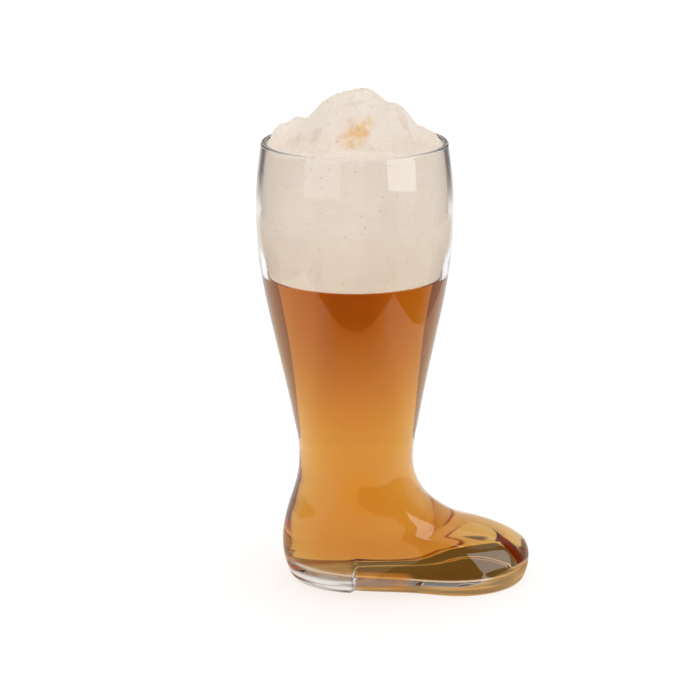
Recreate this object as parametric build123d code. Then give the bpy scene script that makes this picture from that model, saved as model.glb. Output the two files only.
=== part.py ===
from build123d import *
import math
import os

# Boot-shaped drinking glass, filled with beer under a head of foam.
# Millimetres, +Z up, the toe points to +X, mirror-symmetric about the XZ plane.
# The origin lies on the resting plane, under the middle of the bounding box.

# ---- driving dimensions ------------------------------------------------------
GLASS_HEIGHT = 250.0      # resting plane to the top of the lip
WALL = 3.0                # wall of the shaft and the foot
LIP_ROUND = 1.65          # half round of the fire-polished mouth
FLOOR_ROUND = 13.0        # inner rounding between the wall and the floor
FLOOR_BLEND = 40.0        # height at which the slope of the floor has faded out
ARCH_RISE = 2.2           # hollow under the foot, in front of the heel
HEEL_BREAST = -2.5        # where the heel ends, from the shaft axis
ARCH_END = 50.0           # where the front sole comes down again
BEER_LEVEL = 178.5        # top of the beer above the resting plane
FOAM_TOP = 277.5          # crown of the foam head
AXIS_X = -22.80           # the shaft axis, seen from the middle of the bounding box

# Half width of the foot and radius of the shaft over the height.
WIDTH_Z = [0, 0.5, 1, 2, 3.5, 5.5, 8, 11, 15, 20, 27, 35, 44, 54, 66, 78, 88, 100,
           116, 134, 152, 170, 186, 200, 212, 224, 234, 243, 250]
WIDTH_R = [27.8, 29.9, 31.2, 32.7, 34.0, 34.9, 35.4, 35.5, 35.3, 34.9, 34.4, 33.9,
           33.2, 32.4, 31.8, 32.2, 33.6, 35.65, 38.75, 42.5, 46.3, 49.75, 52.05, 53.05, 53.3,
           52.95, 52.1, 50.95, 50.05]
# Slight forward lean of the shaft towards the ankle.
LEAN_Z = [0, 60, 78, 100, 134, 170, 200, 250]
LEAN_X = [1.2, 1.2, 1.15, 0.95, 0.5, 0.25, 0.1, 0.0]
# Front line of the boot in its mirror plane: toe, vamp and ankle, as (x, z).
FRONT = [(93, 0), (95.6, 1.8), (97.4, 5), (98.6, 10), (98.7, 14.8), (97.3, 19.26),
         (93, 23.71), (86, 27.55), (76, 30.73), (66, 33.11), (57.5, 36.34), (50.6, 40.36),
         (44.7, 44.65), (39.6, 50), (35.7, 57), (33.3, 65), (32.7, 73), (33.2, 80),
         (34.6, 90), (36.4, 99), (39.5, 115)]
# Back line: heel and calf, as (x, z).
BACK = [(-32.8, 0), (-35.4, 2), (-37.0, 5), (-38.4, 9), (-39.7, 14), (-40.4, 20),
        (-40.4, 26), (-39.6, 32), (-38.2, 38.5), (-36.4, 45), (-34.2, 52),
        (-32.3, 59), (-31.1, 67), (-30.9, 75), (-31.4, 83), (-32.7, 91),
        (-34.2, 98), (-37.7, 115)]
# Bluntness of the toe and heel ends of each horizontal section.
TOE_N_Z = [0, 8, 14, 20, 26, 32, 38, 45, 55, 78]
TOE_N = [2.5, 2.48, 2.45, 2.25, 2.04, 1.94, 1.96, 1.97, 1.97, 2]
HEEL_N_Z, HEEL_N = [0, 14, 26, 38, 50, 78], [2.4, 2.35, 2.25, 2.1, 2.0, 2.0]
# Widest place of each section.
MID_Z = [0, 9, 14, 20, 26, 32, 38, 44, 50, 57, 64, 71, 80, 95]
MID_X = [30, 29, 27, 24, 20, 16, 12, 8.5, 5.8, 3.6, 2.2, 1.5, 1.15, 1.0]
# Plan of the sole: round heel, drawn-in waist, broad ball.
PLAN_X = [-60, -40, -15, 5, 22, 40, 62, 80, 120]
PLAN_K = [1.0, 1.0, 1.04, 0.99, 0.945, 0.985, 1.10, 1.11, 1.04]
# Fullness of the sides of the foot, a row for each x from the shaft axis, over z.
DOME_X = [-42, -20, 0, 20, 40, 60, 78, 92]
DOME_Z = [0, 4, 9, 15, 21, 28, 36, 45, 55]
DOME_K = [[-0.058, -0.032, -0.005, 0.016, 0.029, 0.033, 0.029, 0.016, 0],
          [0.002, -0.013, -0.02, -0.019, -0.013, -0.003, 0.004, 0.005, 0],
          [0.04, -0.004, -0.04, -0.056, -0.055, -0.042, -0.027, -0.005, 0],
          [0.041, -0.014, -0.063, -0.095, -0.104, -0.083, -0.073, -0.034, 0],
          [0.043, -0.025, -0.085, -0.134, -0.154, -0.162, -0.149, -0.08, 0],
          [0.084, -0.014, -0.104, -0.166, -0.212, -0.231, -0.176, -0.09, 0],
          [0.115, -0.01, -0.114, -0.174, -0.223, -0.214, -0.166, -0.089, 0],
          [0.12, -0.022, -0.126, -0.189, -0.214, -0.201, -0.154, -0.083, 0]]
# Thickness of the glass under the beer: a heavy heel, thin at the toe.
FLOOR_X = [-40, -20, 0, 20, 40, 60, 95]
FLOOR_T = [9.2, 8.4, 7.1, 5.4, 3.8, 2.9, 2.6]
# Crown of the foam head over the radius.
FOAM_R = [0, 10, 20, 28, 36, 42, 47.5, 54]
FOAM_Z = [FOAM_TOP, FOAM_TOP - 1.4, FOAM_TOP - 7.0, FOAM_TOP - 13.5, FOAM_TOP - 20.0,
          FOAM_TOP - 25.0, FOAM_TOP - 29.5, FOAM_TOP - 35.0]

SECTION_POINTS = 30       # along each half of a section
FOOT_STEPS, SHAFT_STEPS = 40, 30
ROUND_STEPS = 14          # of the inner rounding above the floor
FLOOR_STEPS = 14          # of the floor, towards its middle
ANKLE = 78.0              # narrowest place of the boot


# ---- curves ------------------------------------------------------------------
def natural_spline(xs, ys):
    """Natural cubic through the points, as a function."""
    n = len(xs)
    h = [xs[i + 1] - xs[i] for i in range(n - 1)]
    a, b, c, d = [0.0] * n, [1.0] * n, [0.0] * n, [0.0] * n
    for i in range(1, n - 1):
        a[i], b[i], c[i] = h[i - 1], 2 * (h[i - 1] + h[i]), h[i]
        d[i] = 6 * ((ys[i + 1] - ys[i]) / h[i] - (ys[i] - ys[i - 1]) / h[i - 1])
    for i in range(1, n):
        k = a[i] / b[i - 1]
        b[i] -= k * c[i - 1]
        d[i] -= k * d[i - 1]
    m = [0.0] * n
    m[-1] = d[-1] / b[-1]
    for i in range(n - 2, -1, -1):
        m[i] = (d[i] - c[i] * m[i + 1]) / b[i]

    def value(x):
        if x <= xs[0]:
            s = (ys[1] - ys[0]) / h[0] - h[0] * (2 * m[0] + m[1]) / 6
            return ys[0] + s * (x - xs[0])
        if x >= xs[-1]:
            s = (ys[-1] - ys[-2]) / h[-1] + h[-1] * (m[-2] + 2 * m[-1]) / 6
            return ys[-1] + s * (x - xs[-1])
        i = 0
        while x > xs[i + 1]:
            i += 1
        u, v = (xs[i + 1] - x) / h[i], (x - xs[i]) / h[i]
        return (u * ys[i] + v * ys[i + 1]
                + ((u ** 3 - u) * m[i] + (v ** 3 - v) * m[i + 1]) * h[i] ** 2 / 6)

    return value


def linear(xs, ys):
    """Straight runs between the points, as a function."""
    def value(x):
        if x <= xs[0]:
            return ys[0]
        if x >= xs[-1]:
            return ys[-1]
        i = 0
        while x > xs[i + 1]:
            i += 1
        return ys[i] + (ys[i + 1] - ys[i]) * (x - xs[i]) / (xs[i + 1] - xs[i])

    return value


def smooth(lo, hi, x):
    t = min(1.0, max(0.0, (x - lo) / (hi - lo)))
    return t * t * (3 - 2 * t)


def line_over_z(points, inset, side, count=900):
    """Smooth line through (x, z) points, moved inwards by inset, as x over z.
    side is +1 for the front line and -1 for the back line."""
    s = [0.0]
    for p, q in zip(points, points[1:]):
        s.append(s[-1] + math.hypot(q[0] - p[0], q[1] - p[1]))
    fx = natural_spline(s, [p[0] for p in points])
    fz = natural_spline(s, [p[1] for p in points])
    line = [(fx(s[-1] * i / count), fz(s[-1] * i / count)) for i in range(count + 1)]
    moved = []
    for i, (x, z) in enumerate(line):
        (x0, z0), (x1, z1) = line[max(0, i - 1)], line[min(count, i + 1)]
        tx, tz = x1 - x0, z1 - z0
        k = math.hypot(tx, tz)
        moved.append((x - side * inset * tz / k, z + side * inset * tx / k))
    kept = [moved[0]]
    for x, z in moved[1:]:
        if z > kept[-1][1] + 1e-6:
            kept.append((x, z))
    return linear([z for _, z in kept], [x for x, _ in kept])


lean = natural_spline(LEAN_Z, LEAN_X)
plan = natural_spline(PLAN_X, PLAN_K)
toe_n, heel_n = linear(TOE_N_Z, TOE_N), linear(HEEL_N_Z, HEEL_N)
mid = linear(MID_Z, MID_X)
thickness = natural_spline(FLOOR_X, FLOOR_T)
dome_rows = [natural_spline(DOME_Z, row) for row in DOME_K]


def skin(inset):
    """Front, back and half width of the boot's surface, inset by a wall."""
    front, back = line_over_z(FRONT, inset, 1), line_over_z(BACK, inset, -1)
    width = natural_spline(WIDTH_Z, WIDTH_R)
    rows = []
    for i in range(0, 1001):
        z = GLASS_HEIGHT * i / 1000
        slope = (width(z + 0.05) - width(z - 0.05)) / 0.1
        k = math.hypot(1.0, slope)
        rows.append((z + inset * slope / k, width(z) - inset / k))
    rows.sort()
    half = linear([z for z, _ in rows], [r for _, r in rows])

    def at(z):
        r, c, k = half(z), lean(z), smooth(78, 98, z)
        return (back(z) * (1 - k) + (c - r) * k, front(z) * (1 - k) + (c + r) * k, r)

    return at


def side(x, z):
    """Widening or narrowing of a section along the sole and over the toe."""
    x -= AXIS_X
    level = min(max(z, DOME_Z[0]), DOME_Z[-1])
    over_x = natural_spline(DOME_X, [row(level) for row in dome_rows])
    dome = over_x(min(max(x, DOME_X[0]), DOME_X[-1]))
    return 1 + (1 - smooth(18, 52, z)) * (plan(x) - 1) + dome


def half_section(z, xb, xf, half, height, pull=0.0):
    """Half of a blunt oval from the toe end xf to the heel end xb. height gives z over x."""
    k = smooth(78, 98, z)
    xm = mid(z) * (1 - k) + lean(z) * k
    xb, xf, half = xb + pull, xf - pull, half - pull
    points = []
    for i in range(SECTION_POINTS + 1):
        t = math.pi * i / SECTION_POINTS
        ct, st = math.cos(t), math.sin(t) if 0 < i < SECTION_POINTS else 0.0
        a, n = (xf - xm, toe_n(z)) if ct >= 0 else (xm - xb, heel_n(z))
        rho = (abs(ct / a) ** n + abs(st / half) ** n) ** (-1 / n)
        x = xm + rho * ct
        points.append(Vector(x + AXIS_X, rho * st * side(x + AXIS_X, z), height(x)))
    return points


def drawn_in(points, xm, f, height):
    """A half section drawn in towards the middle of the floor."""
    rows = []
    for p in points:
        x = xm + (p.X - AXIS_X - xm) * f
        rows.append(Vector(x + AXIS_X, p.Y * f, height(x)))
    return rows


def closed_body(rows):
    """Solid between a skin through the half sections, its mirror image and two flat ends."""
    far = Face.make_surface_from_array_of_points(rows, tol=0.02, min_deg=3, max_deg=3)
    near = far.mirror(Plane.XZ)
    ends = []
    for pick in (0, -1):
        edges = [sorted(f.edges(), key=lambda e: e.center().Z)[pick] for f in (far, near)]
        ends.append(Face(Wire(edges)))
    return Solid(Shell([far, near] + ends))


def outer_body():
    at = skin(0.0)
    levels = [ANKLE * (i / FOOT_STEPS) ** 1.7 for i in range(FOOT_STEPS)]
    levels += [ANKLE + (GLASS_HEIGHT - ANKLE) * i / SHAFT_STEPS for i in range(SHAFT_STEPS + 1)]
    return closed_body([half_section(z, *at(z), lambda x, z=z: z) for z in levels])


def floor(x):
    return thickness(min(max(x, FLOOR_X[0]), FLOOR_X[-1]))


def inner_body():
    """The space inside the glass, prolonged above the mouth."""
    at = skin(WALL)
    top = FOAM_TOP + 5
    levels = [FLOOR_ROUND * (1 - math.cos(math.pi / 2 * i / ROUND_STEPS)) for i in range(ROUND_STEPS)]
    steps = FOOT_STEPS - ROUND_STEPS
    levels += [FLOOR_ROUND + (ANKLE - FLOOR_ROUND) * i / steps for i in range(steps)]
    levels += [ANKLE + (top - ANKLE) * i / SHAFT_STEPS for i in range(SHAFT_STEPS + 1)]
    rows = []
    for level in levels:
        fade = max(0.0, 1 - level / FLOOR_BLEND)

        def height(x, level=level, fade=fade):
            return level + floor(x) * fade

        xb = at(height(-35.0))[0]
        xf = at(height(90.0 if level < 20 else 60.0))[1]
        xf = at(height(xf))[1]
        half = at(height(20.0 * fade))[2]
        pull = 0.0
        if level < FLOOR_ROUND:
            d = FLOOR_ROUND - level
            pull = FLOOR_ROUND - math.sqrt(FLOOR_ROUND ** 2 - d ** 2)
        rows.append(half_section(height(10.0), xb, xf, half, height, pull))
    # the floor, down to a small flat in its middle
    xm = mid(floor(10.0))
    ends = [0.02 + 0.96 * i / (FLOOR_STEPS - 1) for i in range(FLOOR_STEPS)]
    flat = [drawn_in(rows[0], xm, ends[0], lambda x: floor(xm))]
    return closed_body(flat + [drawn_in(rows[0], xm, f, floor) for f in ends[1:]] + rows)


# ---- solids ------------------------------------------------------------------
os.makedirs("parts", exist_ok=True)

outer = outer_body()
inner = inner_body()

# Hollow under the foot between the heel and the front sole.
with BuildPart() as hollow_part:
    with BuildSketch(Plane.XZ) as _:
        with BuildLine() as _:
            Polyline((AXIS_X + HEEL_BREAST, 0), (AXIS_X + HEEL_BREAST + 2.6, ARCH_RISE))
            Spline((AXIS_X + HEEL_BREAST + 2.6, ARCH_RISE),
                   (AXIS_X + 20, ARCH_RISE * 0.52), (AXIS_X + ARCH_END, 0))
            Polyline((AXIS_X + ARCH_END, 0), (AXIS_X + ARCH_END, -4),
                     (AXIS_X + HEEL_BREAST, -4), (AXIS_X + HEEL_BREAST, 0))
        make_face()
    extrude(amount=70, both=True)
hollow = hollow_part.part

# Fire-polished lip: what lies outside the half round at the end of the wall is taken off.
lip_r = WIDTH_R[-1] - WALL / 2
lip_z = GLASS_HEIGHT - LIP_ROUND
with BuildPart() as lip_part:
    with BuildSketch(Plane.XZ) as _:
        with BuildLine() as _:
            ThreePointArc((lip_r + LIP_ROUND, lip_z), (lip_r, GLASS_HEIGHT),
                          (lip_r - LIP_ROUND, lip_z))
            Polyline((lip_r - LIP_ROUND, lip_z), (lip_r - 5, lip_z), (lip_r - 5, GLASS_HEIGHT + 3),
                     (lip_r + 5, GLASS_HEIGHT + 3), (lip_r + 5, lip_z), (lip_r + LIP_ROUND, lip_z))
        make_face()
    revolve(axis=Axis.Z)
lip_cut = Pos(AXIS_X, 0, 0) * lip_part.part

glass = outer - inner
glass = glass - hollow
glass = glass - lip_cut

below = Pos(0, 0, BEER_LEVEL / 2 - 20) * Box(400, 300, BEER_LEVEL + 40)
beer = inner & below

crown = [(r, z) for r, z in zip(FOAM_R, FOAM_Z)]
with BuildPart() as crown_part:
    with BuildSketch(Plane.XZ) as _:
        with BuildLine() as _:
            Spline(*crown, tangents=[(1, 0), (1, -0.95)])
            Polyline(crown[-1], (crown[-1][0], BEER_LEVEL), (0, BEER_LEVEL), crown[0])
        make_face()
    revolve(axis=Axis.Z)
foam = inner & (Pos(AXIS_X, 0, 0) * crown_part.part)

for name, shape in (("boot_glass", glass), ("beer", beer), ("foam_head", foam)):
    solids = shape.solids()
    print(name, len(solids), "solid(s)", round(sum(s.volume for s in solids) / 1000, 1), "cm3",
          shape.bounding_box())
    export_step(solids[0] if len(solids) == 1 else Compound(solids), "parts/" + name + ".step")
print("brimful litres", round((inner & (Pos(0, 0, GLASS_HEIGHT / 2) * Box(400, 300, GLASS_HEIGHT))).volume / 1e6, 3))
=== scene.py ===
import bpy
import math
import numpy as np
from mathutils import Matrix, Vector, noise


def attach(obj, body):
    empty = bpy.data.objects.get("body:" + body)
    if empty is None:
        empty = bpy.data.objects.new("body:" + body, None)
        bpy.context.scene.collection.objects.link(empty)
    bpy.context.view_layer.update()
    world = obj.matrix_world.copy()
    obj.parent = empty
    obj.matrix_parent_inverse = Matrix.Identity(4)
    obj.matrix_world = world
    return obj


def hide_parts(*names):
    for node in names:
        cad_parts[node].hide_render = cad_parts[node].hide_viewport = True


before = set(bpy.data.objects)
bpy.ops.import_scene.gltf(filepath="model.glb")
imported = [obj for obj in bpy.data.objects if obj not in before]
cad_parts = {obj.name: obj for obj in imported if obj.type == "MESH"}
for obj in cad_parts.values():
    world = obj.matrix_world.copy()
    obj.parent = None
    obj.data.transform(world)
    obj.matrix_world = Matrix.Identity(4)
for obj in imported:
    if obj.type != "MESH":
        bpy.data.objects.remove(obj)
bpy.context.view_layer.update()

# ------------------------------------------------------------------ dimensions
# Millimetres in the boot's own frame, as in the construction; metres in meshes.
AXIS_X = -22.80
GLASS_HEIGHT = 250.0
WALL = 3.0
FLOOR_X, FLOOR_T = [-40, -20, 0, 20, 40, 60, 95], [9.2, 8.4, 7.1, 5.4, 3.8, 2.9, 2.6]
FLOOR_ROUND, TOE_ROUND, FLOOR_BLEND = 13.0, 13.0, 40.0
BEER_LEVEL = 178.5
FOAM_FREE = (188.0, 205.0, 207.0, 216.0)   # the foam touches the wall between the middle two
ARCH_RISE, HEEL_BREAST, ARCH_END = 2.2, -2.5, 50.0
SOLE_ROUND = 0.6
SLIM = 0.9996             # keeps the faceted walls within the true ones

WIDTH_Z = [0, 0.5, 1, 2, 3.5, 5.5, 8, 11, 15, 20, 27, 35, 44, 54, 66, 78, 88, 100,
           116, 134, 152, 170, 186, 200, 212, 224, 234, 243, 250]
WIDTH_R = [27.8, 29.9, 31.2, 32.7, 34.0, 34.9, 35.4, 35.5, 35.3, 34.9, 34.4, 33.9,
           33.2, 32.4, 31.8, 32.2, 33.6, 35.65, 38.75, 42.5, 46.3, 49.75, 52.05, 53.05, 53.3,
           52.95, 52.1, 50.95, 50.05]
LEAN_Z = [0, 60, 78, 100, 134, 170, 200, 250]
LEAN_X = [1.2, 1.2, 1.15, 0.95, 0.5, 0.25, 0.1, 0.0]
FRONT = [(93, 0), (95.6, 1.8), (97.4, 5), (98.6, 10), (98.7, 14.8), (97.3, 19.26),
         (93, 23.71), (86, 27.55), (76, 30.73), (66, 33.11), (57.5, 36.34), (50.6, 40.36),
         (44.7, 44.65), (39.6, 50), (35.7, 57), (33.3, 65), (32.7, 73), (33.2, 80),
         (34.6, 90), (36.4, 99), (39.5, 115)]
BACK = [(-32.8, 0), (-35.4, 2), (-37.0, 5), (-38.4, 9), (-39.7, 14), (-40.4, 20),
        (-40.4, 26), (-39.6, 32), (-38.2, 38.5), (-36.4, 45), (-34.2, 52),
        (-32.3, 59), (-31.1, 67), (-30.9, 75), (-31.4, 83), (-32.7, 91),
        (-34.2, 98), (-37.7, 115)]
TOE_N_Z = [0, 8, 14, 20, 26, 32, 38, 45, 55, 78]
TOE_N = [2.5, 2.48, 2.45, 2.25, 2.04, 1.94, 1.96, 1.97, 1.97, 2]
HEEL_N_Z, HEEL_N = [0, 14, 26, 38, 50, 78], [2.4, 2.35, 2.25, 2.1, 2.0, 2.0]
MID_Z = [0, 9, 14, 20, 26, 32, 38, 44, 50, 57, 64, 71, 80, 95]
MID_X = [30, 29, 27, 24, 20, 16, 12, 8.5, 5.8, 3.6, 2.2, 1.5, 1.15, 1.0]
PLAN_X = [-60, -40, -15, 5, 22, 40, 62, 80, 120]
PLAN_K = [1.0, 1.0, 1.04, 0.99, 0.945, 0.985, 1.10, 1.11, 1.04]
DOME_X = [-42, -20, 0, 20, 40, 60, 78, 92]
DOME_Z = [0, 4, 9, 15, 21, 28, 36, 45, 55]
DOME_K = [[-0.058, -0.032, -0.005, 0.016, 0.029, 0.033, 0.029, 0.016, 0],
          [0.002, -0.013, -0.02, -0.019, -0.013, -0.003, 0.004, 0.005, 0],
          [0.04, -0.004, -0.04, -0.056, -0.055, -0.042, -0.027, -0.005, 0],
          [0.041, -0.014, -0.063, -0.095, -0.104, -0.083, -0.073, -0.034, 0],
          [0.043, -0.025, -0.085, -0.134, -0.154, -0.162, -0.149, -0.08, 0],
          [0.084, -0.014, -0.104, -0.166, -0.212, -0.231, -0.176, -0.09, 0],
          [0.115, -0.01, -0.114, -0.174, -0.223, -0.214, -0.166, -0.089, 0],
          [0.12, -0.022, -0.126, -0.189, -0.214, -0.201, -0.154, -0.083, 0]]


# ---------------------------------------------------------------------- curves
def spline(xs, ys):
    """Natural cubic through the points, straight beyond its ends."""
    xs, ys = np.asarray(xs, float), np.asarray(ys, float)
    n, h = len(xs), np.diff(np.asarray(xs, float))
    a, b = np.zeros((n, n)), np.zeros(n)
    a[0, 0] = a[-1, -1] = 1
    for i in range(1, n - 1):
        a[i, i - 1], a[i, i], a[i, i + 1] = h[i - 1], 2 * (h[i - 1] + h[i]), h[i]
        b[i] = 6 * ((ys[i + 1] - ys[i]) / h[i] - (ys[i] - ys[i - 1]) / h[i - 1])
    m = np.linalg.solve(a, b)
    s0 = (ys[1] - ys[0]) / h[0] - h[0] * (2 * m[0] + m[1]) / 6
    s1 = (ys[-1] - ys[-2]) / h[-1] + h[-1] * (m[-2] + 2 * m[-1]) / 6

    def value(x):
        x = np.asarray(x, float)
        i = np.clip(np.searchsorted(xs, x) - 1, 0, n - 2)
        u, v = (xs[i + 1] - x) / h[i], (x - xs[i]) / h[i]
        y = u * ys[i] + v * ys[i + 1] + ((u**3 - u) * m[i] + (v**3 - v) * m[i + 1]) * h[i] ** 2 / 6
        y = np.where(x < xs[0], ys[0] + s0 * (x - xs[0]), y)
        return np.where(x > xs[-1], ys[-1] + s1 * (x - xs[-1]), y)

    return value


def smooth(lo, hi, x):
    t = np.clip((np.asarray(x, float) - lo) / (hi - lo), 0, 1)
    return t * t * (3 - 2 * t)


def line_over_z(points, inset, side, count=2400):
    """A smooth line through (x, z) points, moved inwards, as x over z."""
    p = np.asarray(points, float)
    s = np.concatenate([[0], np.cumsum(np.hypot(*np.diff(p, axis=0).T))])
    q = np.linspace(0, s[-1], count)
    x, z = spline(s, p[:, 0])(q), spline(s, p[:, 1])(q)
    tx, tz = np.gradient(x), np.gradient(z)
    k = np.hypot(tx, tz)
    x, z = x - side * inset * tz / k, z + side * inset * tx / k
    keep = np.concatenate([[True], z[1:] > np.maximum.accumulate(z)[:-1] + 1e-6])
    x, z = x[keep], z[keep]
    return lambda at: np.interp(at, z, x)


lean, plan = spline(LEAN_Z, LEAN_X), spline(PLAN_X, PLAN_K)
width = spline(WIDTH_Z, WIDTH_R)
thickness = spline(FLOOR_X, FLOOR_T)
dome_x = [spline(DOME_X, row) for row in np.eye(len(DOME_X))]
dome_z = [spline(DOME_Z, row) for row in np.eye(len(DOME_Z))]


def side(x, z):
    """Widening or narrowing of a section along the sole and over the toe."""
    bx = np.stack([f(np.clip(x, DOME_X[0], DOME_X[-1])) for f in dome_x], -1)
    bz = np.array([float(f(min(max(z, 0.0), DOME_Z[-1]))) for f in dome_z])
    return 1 + (1 - smooth(18, 52, z)) * (plan(x) - 1) + bx @ (np.array(DOME_K) @ bz)


def skin(inset):
    """Back, front and half width of the boot's surface over z, inset by a wall."""
    front, back = line_over_z(FRONT, inset, 1), line_over_z(BACK, inset, -1)
    z = np.linspace(0, GLASS_HEIGHT, 2000)
    slope = np.gradient(width(z), z)
    k = np.hypot(1.0, slope)
    zz, rr = z + inset * slope / k, width(z) - inset / k
    order = np.argsort(zz)
    zz, rr = zz[order], rr[order]

    def at(level):
        r, c, k = np.interp(level, zz, rr), lean(level), smooth(78, 98, level)
        return back(level) * (1 - k) + (c - r) * k, front(level) * (1 - k) + (c + r) * k, r

    return at


def ring(z, xb, xf, half, height, count, pull=0.0, toe_pull=None):
    """A closed section, blunt oval from xb to xf, as points. height gives z over x."""
    t = 2 * math.pi * np.arange(count) / count
    ct, st = np.cos(t), np.sin(t)
    k = smooth(78, 98, z)
    xm = np.interp(z, MID_Z, MID_X) * (1 - k) + lean(z) * k
    n = np.where(ct >= 0, np.interp(z, TOE_N_Z, TOE_N), np.interp(z, HEEL_N_Z, HEEL_N))

    def radius(pull):
        a = np.where(ct >= 0, xf - xm, xm - xb) - pull
        return (np.abs(ct / a) ** n + np.abs(st / (half - pull)) ** n) ** (-1 / n)

    if toe_pull is not None:
        along = smooth(-6, 34, xm + radius(0.0) * ct)
        pull = pull + (toe_pull - pull) * along
    rho = radius(pull)
    x = xm + rho * ct
    y = rho * st * side(x, z)
    return np.stack([x, y, height(x) + 0 * x], -1), xm


def arch(x):
    """Hollow under the foot: a slanted step behind it, then a gentle fall to the sole."""
    up = smooth(HEEL_BREAST, HEEL_BREAST + 2.8, x)
    down = np.clip((ARCH_END - x) / (ARCH_END - HEEL_BREAST), 0, 1)
    return ARCH_RISE * up * down**1.25


def floor(x):
    return thickness(np.clip(x, FLOOR_X[0], FLOOR_X[-1]))


def shrink(points, xm, factors, height=None):
    """Rings that close a section towards its middle. height gives z over x."""
    out = []
    for f in factors:
        p = points.copy()
        p[:, 0] = xm + (points[:, 0] - xm) * f
        p[:, 1] = points[:, 1] * f
        if height:
            p[:, 2] = height(p[:, 0])
        out.append(p)
    return out


OUTER, INNER = skin(0.0), skin(WALL)


def outer_rings(count):
    rings = []
    xb, xf, half = OUTER(0.0)
    base, xm = ring(0.0, xb, xf, half, lambda x: 0 * x, count, SOLE_ROUND)
    rings += shrink(base, xm, np.linspace(0.02, 0.985, 40))
    zs = list(SOLE_ROUND - SOLE_ROUND * np.cos(np.linspace(0, math.pi / 2, 8)))
    zs += list(np.arange(SOLE_ROUND + 0.3, 5, 0.35)) + list(np.arange(5.2, 20, 0.7)) + list(np.arange(20, 40, 0.5))
    zs += list(np.arange(40, 78, 1.0)) + list(np.linspace(78, GLASS_HEIGHT - WALL / 2, 84))
    for z in zs:
        pull = SOLE_ROUND - math.sqrt(max(0.0, SOLE_ROUND**2 - (SOLE_ROUND - z) ** 2)) if z < SOLE_ROUND else 0.0
        rings.append(ring(z, *OUTER(z), lambda x, z=z: z + 0 * x, count, pull)[0])
    for p in rings:
        p[:, 2] += arch(p[:, 0]) * np.clip(1 - p[:, 2] / 14.0, 0, 1)
    return rings


def inner_ring(level, count, inset=0.0, skin_at=None):
    at = skin_at or INNER
    fade = max(0.0, 1 - level / FLOOR_BLEND)

    def height(x):
        return level + floor(x) * fade

    xb = at(height(-35.0))[0]
    xf = at(height(90.0 if level < 20 else 60.0))[1]
    xf = at(height(xf))[1]
    half = at(height(20.0 * fade))[2]
    pulls = []
    for r in (FLOOR_ROUND, TOE_ROUND):
        d = max(0.0, r - level)
        pulls.append(inset + r - math.sqrt(r * r - d * d))
    points, xm = ring(height(10.0), xb, xf, half, height, count, *pulls)
    if inset:
        points[:, 2] += inset * fade
    return points, xm


def inner_levels(top, shaft_step=2.2):
    levels = list(FLOOR_ROUND - FLOOR_ROUND * np.cos(np.linspace(0, math.pi / 2, 26)))
    levels += list(np.arange(FLOOR_ROUND + 0.6, 34, 0.6)) + list(np.arange(34, 78, 1.2))
    n = max(2, int((top - 78) / shaft_step))
    return levels + list(np.linspace(78, top, n))


# ---------------------------------------------------------------------- meshes
def mesh_from_rings(name, rings, bands=None, close=True):
    """A closed surface from rings of points (mm about the shaft axis), ends fanned."""
    count = len(rings[0])
    verts = np.concatenate(rings)
    faces, mats = [], []
    idx = np.arange(count)
    nxt = (idx + 1) % count
    for r in range(len(rings) - 1):
        a, b = r * count, (r + 1) * count
        quads = np.stack([a + idx, a + nxt, b + nxt, b + idx], -1)
        faces.extend(quads.tolist())
        mats.extend([bands[r] if bands else 0] * count)
    verts = verts.tolist()
    if close:
        for r, flip in ((0, True), (len(rings) - 1, False)):
            c = len(verts)
            verts.append(list(np.mean(rings[r], axis=0)))
            for i in range(count):
                j = (i + 1) % count
                faces.append([c, r * count + (j if flip else i), r * count + (i if flip else j)])
                mats.append(bands[min(r, len(rings) - 2)] if bands else 0)
    v = [((x * SLIM + AXIS_X) / 1000, y * SLIM / 1000, z / 1000) for x, y, z in verts]
    me = bpy.data.meshes.new(name)
    me.from_pydata(v, [], faces)
    me.polygons.foreach_set("use_smooth", [True] * len(me.polygons))
    me.polygons.foreach_set("material_index", mats)
    me.update()
    ob = bpy.data.objects.new(name, me)
    bpy.context.scene.collection.objects.link(ob)
    return ob


# the glass: sole, outer wall, lip, inner wall, inner floor
NT = 196
rings = outer_rings(NT)
n_outer = len(rings)
lip_z = GLASS_HEIGHT - WALL / 2
ro, ri = OUTER(lip_z)[2], INNER(lip_z)[2]
rc, rl = (ro + ri) / 2, (ro - ri) / 2
t = 2 * math.pi * np.arange(NT) / NT
for al in np.linspace(0, math.pi, 15)[1:-1]:
    r = rc + rl * math.cos(al)
    rings.append(np.stack([lean(lip_z) + r * np.cos(t), r * np.sin(t), 0 * t + lip_z + rl * math.sin(al)], -1))
levels = sorted(set(inner_levels(lip_z, 1.5)) | {BEER_LEVEL}, reverse=True)
first_inner = len(rings)
wet_from = None
for lv in levels:
    if wet_from is None and lv <= BEER_LEVEL + 1e-6:
        wet_from = len(rings)
    p, xm = inner_ring(lv, NT)
    rings.append(p)
rings += shrink(rings[-1], xm, np.linspace(0.97, 0.02, 28), floor)
CONTACT = [1.0, 1.15, 1.28, 1.36, 1.40, 1.42, 1.44, 1.46, 1.48]


def band(r):
    """Which glass a ring of faces has: 0 dry, 1 wet, from 2 on more and more free of foam."""
    if r < first_inner or r >= wet_from:
        return 0 if r < first_inner else 1
    z = levels[r - first_inner]
    free = max(float(smooth(FOAM_FREE[2], FOAM_FREE[3], z)), float(smooth(FOAM_FREE[1], FOAM_FREE[0], z)))
    step = int(free * len(CONTACT))
    return 2 + step if step < len(CONTACT) else 0


bands = [band(r) for r in range(len(rings) - 1)]
glass = mesh_from_rings("boot_glass_blown", rings, bands)

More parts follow.
